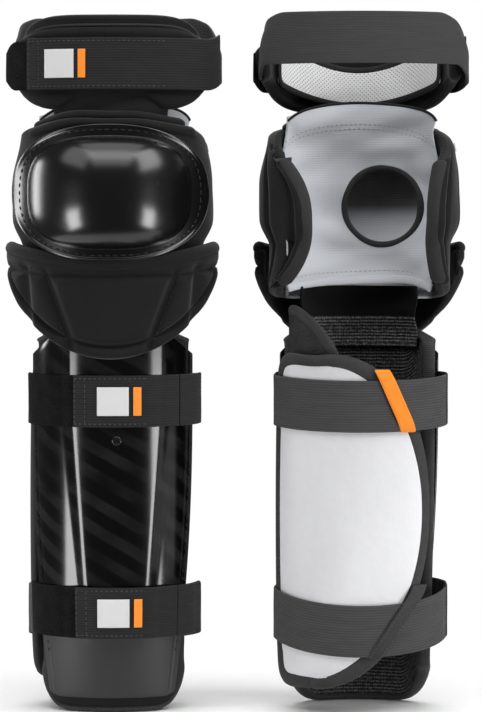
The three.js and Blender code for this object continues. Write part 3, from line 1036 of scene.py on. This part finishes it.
def wing_seams(place):
    v = np.linspace(0.08, 0.92, 70)
    rows = [place(np.full(70, share), v) for share in (0.05, 0.95, 0.137, 0.863)]
    add("knee_wing_stitches", sewn_rows(rows, 3.4, 2.8, 1.6, 0.6), "thread_grey", "knee")


def wing_borders(place):
    """A soft roll sewn round the free edge of each wing."""
    for name, share in (("outer", 0.0135), ("inner", 0.9865)):
        path = soften(place(np.full(70, share), np.linspace(0.015, 0.985, 70)), 4)
        roll = tube(path, away(path), 10, 12.6, 16, taper=5)
        add(f"knee_wing_{name}_border", roll, "border", "knee")


def wing_tacks():
    """Two short pale bar tacks on the backs of the wings."""
    tacks = []
    for angle, low, high in ((321, 337, 349), (194, 414, 421)):
        turns = np.full(8, float(angle))
        path = on_knee(turns, 0.9, np.linspace(low, high, 8))
        tacks.append(tube(path, outward(turns), 1.6, 1.0, 8, taper=1))
    add("knee_wing_tacks", joined(tacks), "thread_pale", "knee")


def knee_collar():
    """Two padded rolls along the top of the knee section, above the cap."""
    rolls = (("upper", 22, 152, 439.5, -9.5, 8.0, 11.0), ("lower", 26, 156, 433.5, -3.0, 8.5, 9.0))
    for name, first, last, height, off, wide, thick in rolls:
        angle = np.linspace(first, last, 90)
        wave = ripple(np.stack([angle, 0 * angle, 0 * angle], -1), 45, len(name)) * 0.8
        path = on_knee(angle, off, height - 9 * sideways(angle) ** 3 + wave)
        roll = tube(path, outward(angle), wide, thick, 16, taper=9)
        add(f"knee_collar_{name}", roll, "cover", "knee")


CAP, CAP_HALF = centre_and_half("knee_cap")


def cap_point(r, turn, lift):
    """A point on the knee cap: r runs from its middle to its rim, and lift stands it off the pad."""
    power = lerp(3.0, 2.35, smooth(r, 0.75, 1.0))
    c, s = np.cos(turn), np.sin(turn)
    spread = r / (np.abs(c) ** power + np.abs(s) ** power) ** (1 / power)
    x, z = CAP[0] + CAP_HALF[0] * c * spread, CAP[2] + CAP_HALF[2] * s * spread
    return oval(angle_at(x, KNEE_WIDE[0] + 3), KNEE_WIDE[0] + 3, KNEE_WIDE[1] + 0.6 + lift, z)


def cap_rise(r):
    dome = 24 * np.maximum(0, 1 - np.clip(r / 0.82, 0, 1) ** 2.5) ** 0.52
    return dome + 1.2 * hump(r - 0.985, 0.02)


def knee_cap():
    stretches = ((0.03, 0.6, 14), (0.63, 0.84, 22), (0.86, 1.0, 12))
    rings = np.concatenate([np.linspace(*stretch) for stretch in stretches])
    turns = full_turn(120)
    r, turn = np.meshgrid(rings, turns, indexing="ij")
    zero = np.zeros(1)

    def skins(r, turn):
        """The cap's outer and inner skin."""
        return [cap_point(r, turn, cap_rise(r) + 3), cap_point(r, turn, cap_rise(r) * 0.97)]

    layers, hubs = skins(r, turn), skins(zero, zero)
    nr, nt = r.shape
    points = np.vstack([layer.reshape(-1, 3) for layer in layers] + hubs)
    faces = []
    for layer, way in ((0, 1), (1, -1)):
        first = layer * nr * nt
        faces += [face[::way] for face in ring_faces(nr, nt, first)]
        faces += [(len(points) - 2 + layer, first + k, first + (k + 1) % nt)[::way] for k in range(nt)]
    last = (nr - 1) * nt
    for k in range(last, last + nt):
        m = last + (k + 1) % nt
        faces.append((m, k, nr * nt + k, nr * nt + m)[::-1])
    shape = Shape(points, faces, points[:, [0, 2]])
    add("knee_cap", shape, "cap", "knee", cad=True, subdivide=1)
    turn = np.linspace(-0.15, 2 * np.pi - 0.15, 260)
    path, above = (cap_point(np.full(260, 0.915), turn, lift) for lift in (3.25, 4.25))
    add("knee_cap_stitches", stitches(path, above - path, 3.8, 1.8, 1.0), "thread", "knee")


APRON_OVAL = (70.5, 65)


def apron_edge(side):
    return 260 + 75 * (1 - np.sqrt(1 - (0.985 * side) ** 2))


def knee_apron():
    def place(u, v):
        angle = lerp(4, 176, u)
        side = sideways(angle)
        z = lerp(apron_edge(side) + 2, 331 + 12 * side**2, v)
        return oval(angle, APRON_OVAL[0] + 4, APRON_OVAL[1] + 4, z)

    middle = [((-46, 323), (-27, 271)), ((46, 323), (27, 271))]
    outer = [((-61, 328), (-58, 290)), ((61, 328), (58, 290))]
    across = [((-70, 327), (-46, 322.5)), ((-46, 322.5), (46, 322.5)), ((46, 322.5), (70, 327))]

    def border(x, z):
        side = np.clip(np.abs(x) / (APRON_OVAL[0] + 4), 0, 1)
        return hump(z - apron_edge(side) - 11, 2.6)

    def out(u, v, points):
        x, z = points[..., 0], points[..., 2]
        sewn = ((1.0, middle, 4.0), (0.9, outer, 3.4), (0.9, across, 3.2))
        grooves = [deep * seam_groove(x, z, lines, wide) for deep, lines, wide in sewn]
        return 1.6 - 5.0 * np.max([border(x, z), *grooves], axis=0) - 1.6 * hump(x, 20) * hump(z - 298, 15)

    shape = slab(place, (120, 56), 3.4, 4, out=out)
    x, z = shape.points[:, 0], shape.points[:, 2]
    front = np.isin(np.arange(len(x)), shape.grid)
    seams = (seam_groove(x, z, middle + outer + across, 2.2) > 0.4) | (border(x, z) > 0.5)
    shape = inflate(shape, seams | ~front, 5.0, 4.5)
    add("knee_apron", shape, "cover cover_soft", "knee", cad=True)
    rows = []
    for (ax, az), (bx, bz) in middle + outer:
        t = np.linspace(0, 1, 60)
        x, z = lerp(ax, bx, t) + math.copysign(2.6, ax), lerp(az, bz, t)
        kept = z > apron_edge(np.abs(x) / (APRON_OVAL[0] + 4)) + 7
        angle = angle_at(x[kept], APRON_OVAL[0] + 4)
        rows.append(oval(angle, APRON_OVAL[0] + 6.2, APRON_OVAL[1] + 6.2, z[kept]))
    add("knee_apron_stitches", sewn_rows(rows, 0, 2.6, 1.5, 0.6), "thread", "knee")
    path, ups = border_path(shape, 1.5, parts="b", rounds=4)
    add("knee_apron_roll", tube(path, ups, 10, 9.5, 16, taper=6), "cover", "knee")


HOLE, HOLE_HALF = centre_and_half("sling_ring")
SLING_LOW, SLING_HIGH = local_box("knee_sling")


def sling_y(x):
    return lerp(-24, -4, np.minimum(1, (x / SLING_HIGH[0]) ** 2)) - 1


def sling_half_width(z, x):
    """Half the sleeve's width on x's side: its top stands out more on the inner side."""
    flared = smooth(z, 428, 450) * np.where(np.asarray(x) > 0, 8.5, -1)
    return lerp(KNEE_NECK[0], KNEE_WIDE[0], knee_swell(z)) - KNEE_THICKNESS - 1.5 + flared


def sling_top(high, across):
    return high - 9 * across**2 - 5 * across**8


def sling_foot(low, across):
    """The lower edge bows up behind the knee, more on the inner side."""
    return low + (6 + 2 * across) * (1 - across**4)


def sling_fold(x, z):
    """Soft creases across the sleeve that die out at its held sides."""
    crease = ripple(np.stack([x * 0.6, 0 * x, z * 1.2], -1), 30, 21) * 1.9
    return crease * (1 - smooth(np.abs(x) / sling_half_width(z, x), 0.8, 1.0))


def sling_row(edge, height, inset, lift, count):
    """A line across the sleeve along one of its edges, with its outward directions."""
    share = np.linspace(-1, 1, count)
    z = edge(height, share)
    x = share * (sling_half_width(z, share) - inset)
    path = np.stack([x, sling_y(x) + sling_fold(x, z) + lift, z], -1)
    return path, np.tile([0.0, 1.0, 0.0], (count, 1))


def knee_sling():
    """The stretched sleeve: a sheet in rings from its hole out to its four edges, pulled into soft folds."""
    rings, turns = 34, 160
    hole = HOLE_HALF[0] - 1.5
    low, high = SLING_LOW[2] + 1, SLING_HIGH[2] - 0.5
    turn = full_turn(turns)
    c, s = np.cos(turn), np.sin(turn)
    reach = np.full(turns, 1e9)
    for _ in range(8):
        x = HOLE[0] + reach.clip(0, 140) * c
        z = (HOLE[2] + reach.clip(0, 140) * s).clip(low, high)
        half = sling_half_width(z, x)
        across = np.clip(x / half, -1, 1)
        end = np.where(s > 0, sling_top(high, across), sling_foot(low, across))
        side = np.where(c > 0, half, -half)
        to_side = (side - HOLE[0]) / np.where(c > 0, c.clip(1e-6), c.clip(None, -1e-6))
        to_end = (end - HOLE[2]) / np.where(s > 0, s.clip(1e-6), s.clip(None, -1e-6))
        reach = np.minimum(to_side, to_end)
    share = np.linspace(0, 1, rings)[:, None] ** 1.15
    radius = lerp(hole, reach[None], share)
    x, z = HOLE[0] + radius * c, HOLE[2] + radius * s
    pull = hump(share, 0.5) * np.sin(turn * 5 + 0.6) * 0.8
    y = sling_y(x) + pull * 1.4 + sling_fold(x, z) * smooth(share, 0.05, 0.4)
    points = np.stack([x, y, z], -1).reshape(-1, 3)
    quads = [face[:1] + face[:0:-1] for face in ring_faces(rings, turns)]
    sleeve = Shape(points, quads, points[:, [0, 2]])
    made = add("knee_sling", sleeve, "sling", "knee", cad=True)
    for side, piece in made.items():
        thick = piece.modifiers.new("thickness", "SOLIDIFY")
        thick.thickness = 1.1 * MM
        thick.offset = 0
    turn = full_turn(120)
    x, z = (HOLE[axis] + (hole + 0.2) * wave(turn) for axis, wave in ((0, np.cos), (2, np.sin)))
    path = np.stack([x, sling_y(x) + np.sin(turn * 5 + 0.6) * 0.7, z], -1)
    lap = hump(np.minimum(turn, 2 * np.pi - turn), 0.4)
    ring = tube(path, np.tile([0.0, 1.0, 0.0], (120, 1)), 4.6 + 2.4 * lap, 3.4 + lap, 12, closed=True)
    add("sling_ring", ring, "tape", "knee", cad=True)
    top = tube(*sling_row(sling_top, high, 0.5, 0, 80), 2.2, 2.8, 12)
    add("knee_sling_top_hem", top, "tape_dark", "knee")
    bottom = tube(*sling_row(sling_foot, low + 2.5, 0.5, 0, 80), 6.5, 2.8, 12)
    add("knee_sling_bottom_hem", bottom, "sling", "knee")
    rows = ((sling_top, high - 16), (sling_top, high - 19.5), (sling_foot, low + 9))
    sewn = joined(stitches(*sling_row(edge, height, 1, 0.7, 90), 2.2, 1.4, 0.6) for edge, height in rows)
    add("knee_sling_stitches", sewn, "sling_thread", "knee")


def neck():
    """The soft folded neck from the knee section up to the thigh guard."""

    def place(u, v):
        angle = lerp(48, 132, u)
        z = lerp(410, 462, v)
        fold = 2.2 * np.sin(v * 13 + 1.5 * np.sin(u * 5)) * np.sin(np.pi * v)
        depth = lerp(KNEE_NECK[1] - 15, THIGH_OVAL[1] - 3.5, smooth(z, 424, 450))
        return oval(angle, 62 + fold * 0.3, depth + fold, z)

    shape = slab(place, (50, 40), 1.6, 2)
    pivot = joint_point("thigh_flex")
    blend = ("knee", "thigh", pivot + [0, 0, -14], pivot + [0, 0, 14])
    add("neck_panel", shape, "cover_soft", None, cad=True, blend=blend)


# Thigh section


def thigh_low(x):
    """The thigh guard's lower edge: a shallow notch in the middle between two rounded lobes."""
    reach = np.abs(x)
    notch = 10 * (1 - smooth(reach, 22, 42))
    return 442 + notch + 23 * np.clip(reach / THIGH_OVAL[0], 0, 1) ** 7


def thigh_high(x):
    return 516 - 28 * np.clip(np.abs(x) / THIGH_OVAL[0], 0, 1) ** 7


def thigh_pad():
    middle = -THIGH_THICKNESS / 2

    def place(u, v):
        angle = lerp(-6, 186, u)
        x = on_thigh(angle, 0, 0)[..., 0]
        return on_thigh(angle, middle, lerp(thigh_low(x) + 2, thigh_high(x) - 2, v))

    def seam(x, z):
        return hump(z - thigh_high(x) + 9.5, 2.8)

    def out(u, v, points):
        x, z = points[..., 0], points[..., 2]
        strap = 1.2 * smooth(z, 452, 458) * (1 - smooth(z, 492, 498))
        return 0.8 - 4.6 * seam(x, z) - strap

    shape = slab(place, (100, 46), 5.0, 6, out=out)
    x, z = shape.points[:, 0], shape.points[:, 2]
    pinned = (seam(x, z) > 0.6) | ((z > 458) & (z < 492))
    pinned[shape.grid[:2].ravel()] = pinned[shape.grid[-2:].ravel()] = True
    shape = inflate(shape, pinned, 3.0, 3.0)
    shape.points[:, :2] *= (1 + 0.006 * ripple(shape.points, 30, 13))[:, None]
    add("thigh_pad", shape, "cover cover", "thigh", cad=True)
    angle = np.linspace(14, 166, 120)
    x = on_thigh(angle, 0, 0)[..., 0]
    path = on_thigh(angle, -3.4, thigh_high(x) - 9.5)
    piping = tube(path, outward(angle), 1.8, 1.8, 8)
    add("thigh_seam_piping", piping, "tape", "thigh")


def thigh_lining():
    def place(u, v):
        angle = lerp(16, 164, u)
        side = sideways(angle)
        low = 450 + 17 * side**2
        high = 476 + 26 * side**2 - 6 * side**6
        return on_thigh(angle, -THIGH_THICKNESS - 2.6, lerp(low, high, v))

    shape = slab(place, (60, 24), 1.4, 2)
    add("thigh_lining", shape, "mesh", "thigh", cad=True)
    path, ups = border_path(shape, -0.6, rounds=5)
    binding = tube(path, ups, 4.8, 2.2, 10, closed=True)
    add("thigh_lining_binding", binding, "tape_dark", "thigh")


def thigh_strap_middle(angle):
    """The strap's height: it climbs from the front round both sides to the back."""
    front = np.sin(np.radians(angle))
    return np.where(front > 0, lerp(484, 478, smooth(front, 0, 0.5)), lerp(484, 497, smooth(-front, 0, 0.5)))


def thigh_strap():
    lift = 2.7 + STRAP_THICKNESS / 2

    def patch_line(u, rise):
        angle = lerp(2, 62, u)
        narrowed = lerp(0.62, 1, smooth(angle, 4, 26))
        return on_thigh(angle, 1.5, 477 + rise * narrowed)

    def back_line(u, rise):
        angle = lerp(170.5, 353, u)
        z = thigh_strap_middle(angle) + rise
        depth = lerp(THIGH_OVAL[1], 60, smooth(angle, 170, 190))
        off = lerp(lift, -2, smooth(angle, 325, 353))
        corner = smooth(rise, 0, STRAP_WIDTH / 2) * smooth(np.abs(np.cos(np.radians(angle))), 0.7, 1)
        return oval(angle, THIGH_OVAL[0] + off - 3 * corner, depth + off, z - 7 * corner)

    def tab_line(u, rise):
        angle = lerp(40, 169.8, u)
        return on_thigh(angle, lift, thigh_strap_middle(angle) + rise)

    patch = ribbon(patch_line, 36, width=36, thickness=1.8, wave=0.5, seed=7)
    add("thigh_loop_patch", patch, "pile", "thigh", cad=True)
    back = ribbon(back_line, 110, seed=8)
    add("thigh_strap_back", back, "elastic_fine", "thigh", cad=True)
    fold = joint_point("thigh_tab_peel")
    ahead = np.array([-0.25, -0.97, 0])
    blend = ("thigh", "thigh_tab", fold - ahead, fold + ahead * 12)
    tab = ribbon(tab_line, 100, seed=9)
    add("thigh_strap_tab", tab, "elastic_dark", None, cad=True, blend=blend)
    tab_trim("thigh", tab_line, share=0.12)

    def surface(x, rise):
        angle = angle_at(x, THIGH_OVAL[0] + 4)
        return on_thigh(angle, lift + 1.4, thigh_strap_middle(angle) + rise)

    badge("thigh_badge", surface, -33, "thigh_tab")


# Stage


def floor():
    """An oval pale table top under the pair, set a little back."""
    wide, deep, sides, back = 0.56, 0.34, 96, 0.08
    maker = Shader("pale_floor")
    maker.uv = maker.node("ShaderNodeTexCoord").outputs["Object"]
    look = maker.finish(maker.mix(maker.noise(0.3, 2), 0.84, 0.88), 0.9)
    turn = full_turn(sides)
    points = []
    for more, height in ((0.0, 0.0), (0.001, -0.001), (0.001, -0.002)):
        ring = oval(0, 0, 0, 0 * turn + height)
        ring[:, 0] = (wide + more) * np.cos(turn)
        ring[:, 1] = back + (deep + more) * np.sin(turn)
        points += ring.tolist()
    table = mesh_piece("floor", points, [*ring_faces(3, sides), range(sides)])
    table.data.materials.append(look)


def aimed(name, data, place, aim):
    """Puts a light or the camera at place, turned to aim."""
    made = in_scene(name, data)
    made.location = place
    made.rotation_euler = (Vector(aim) - Vector(place)).to_track_quat("-Z", "Y").to_euler()
    return made


def soft_light(name, place, aim, size, power):
    data = bpy.data.lights.new(name, "AREA")
    data.shape = "RECTANGLE"
    data.size, data.size_y = size
    data.energy = power
    aimed(name, data, place, aim).visible_camera = False


def lighting():
    """Soft boxes overhead, brightest at the right, low ones at the sides that draw the shell's ridges, and
    weak ones from behind that light the edges and thin the shadows."""
    bpy.context.scene.view_settings.view_transform = "Standard"
    soft_light("front_top", (0, -0.73, 1.71), (0, -0.1, 0.35), (1.7, 1.9), 17)
    soft_light("crown", (0, -0.85, 1.45), (0, -0.1, 0.38), (1.3, 0.5), 4.5)
    soft_light("top_right", (1.0, -0.5, 1.15), (0, -0.1, 0.38), (0.8, 0.9), 11)
    soft_light("top_left", (-0.95, -0.55, 1.25), (0, -0.1, 0.38), (0.9, 0.9), 4.5)
    soft_light("edge", (-0.95, 0.4, 0.45), (0, 0, 0.4), (0.2, 0.35), 1.8)
    for name, side in (("left", -1), ("right", 1)):
        soft_light(f"side_{name}", (0.88 * side, -0.5, -0.02), (0, -0.05, 0.1), (0.34, 0.52), 6.5)
    soft_light("back_top", (0, 0.9, 1.2), (0, 0.25, 0), (1.4, 0.6), 13)
    world = bpy.data.worlds.new("studio")
    bpy.context.scene.world = world
    world.use_nodes = True
    tree = world.node_tree
    seen, light = tree.nodes["Background"], tree.nodes.new("ShaderNodeBackground")
    seen.inputs["Color"].default_value = light.inputs["Color"].default_value = (1, 1, 1, 1)
    seen.inputs["Strength"].default_value = 1.0
    light.inputs["Strength"].default_value = 0.08
    path, mix = tree.nodes.new("ShaderNodeLightPath"), tree.nodes.new("ShaderNodeMixShader")
    tree.links.new(path.outputs["Is Camera Ray"], mix.inputs[0])
    tree.links.new(light.outputs[0], mix.inputs[1])
    tree.links.new(seen.outputs[0], mix.inputs[2])
    tree.links.new(mix.outputs[0], tree.nodes["World Output"].inputs["Surface"])


def camera():
    """A long lens straight in front, framed so that the pair fills the picture."""
    distance = 2.9
    frame_height = 0.532
    elevation = math.radians(2)
    aim = Vector((0.0035, 0.0, 0.262))
    data = bpy.data.cameras.new("camera")
    data.sensor_width = 36
    data.lens = data.sensor_width * distance / frame_height
    place = aim + Vector((0, -math.cos(elevation), math.sin(elevation))) * distance
    bpy.context.scene.camera = aimed("camera", data, place, aim)


shin_liner()
shin_shell()
calf_wrap_anchor()
knee_flex_panel()
calf_wrap()
keepers()
calf_strap("upper")
calf_strap("lower")
knee_pad()
knee_cap()
knee_apron()
knee_sling()
neck()
thigh_pad()
thigh_lining()
thigh_strap()
floor()
lighting()
camera()
